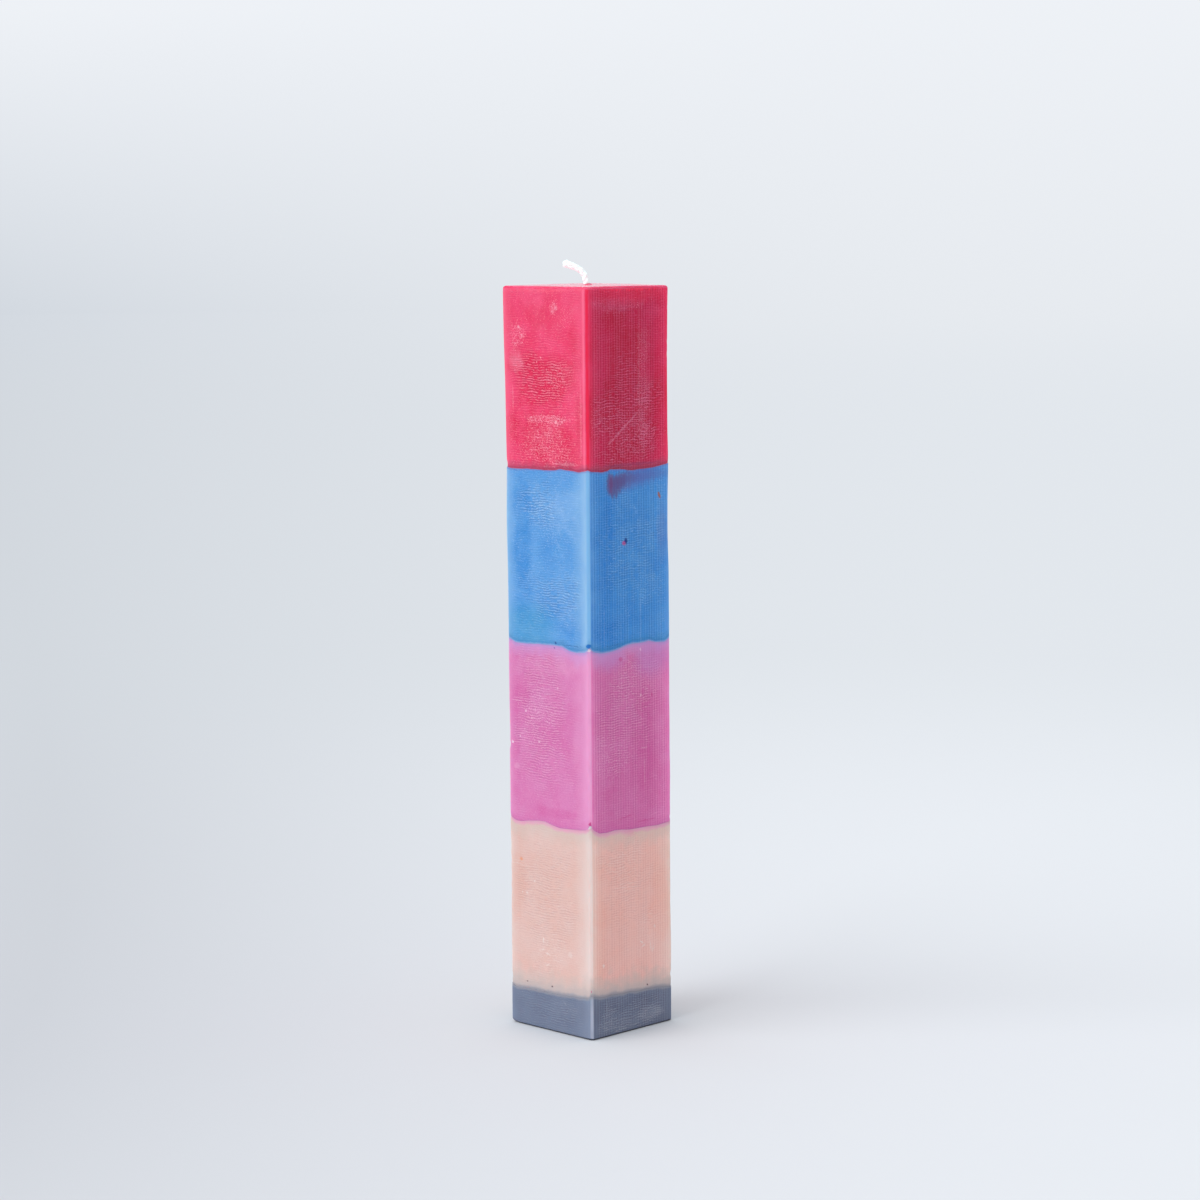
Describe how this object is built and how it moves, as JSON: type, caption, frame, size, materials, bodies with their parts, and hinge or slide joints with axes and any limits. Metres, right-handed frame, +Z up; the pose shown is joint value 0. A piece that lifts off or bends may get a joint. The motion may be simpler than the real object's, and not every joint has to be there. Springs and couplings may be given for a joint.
{
  "type": "candle",
  "caption": "Square pillar candle cast in stacked colour pours of wax, with wavy seams between them and a braided cotton wick bent over at the top.",
  "frame": {"origin": "centre of the flat base, at the level of the surface the candle stands on", "axes": "+Z up along the wick; -Y and +X are the two faces the picture shows, left and right, and the edge between them faces the camera"},
  "size_m": [0.0407, 0.0407, 0.2649],
  "materials": {
    "wax_red": "cast paraffin wax, satin, crimson",
    "wax_blue": "cast paraffin wax, satin, mid blue",
    "wax_pink": "cast paraffin wax, satin, orchid pink",
    "wax_peach": "cast paraffin wax, satin, pale peach",
    "wax_grey": "cast paraffin wax, satin, slate grey",
    "wick_cotton": "braided cotton, white, waxed near its foot"
  },
  "bodies": {
    "root": {"wax_red": "wax_red", "wax_blue": "wax_blue", "wax_pink": "wax_pink", "wax_peach": "wax_peach", "wax_grey": "wax_grey", "wick": "wick_cotton"}
  },
  "joints": []
}
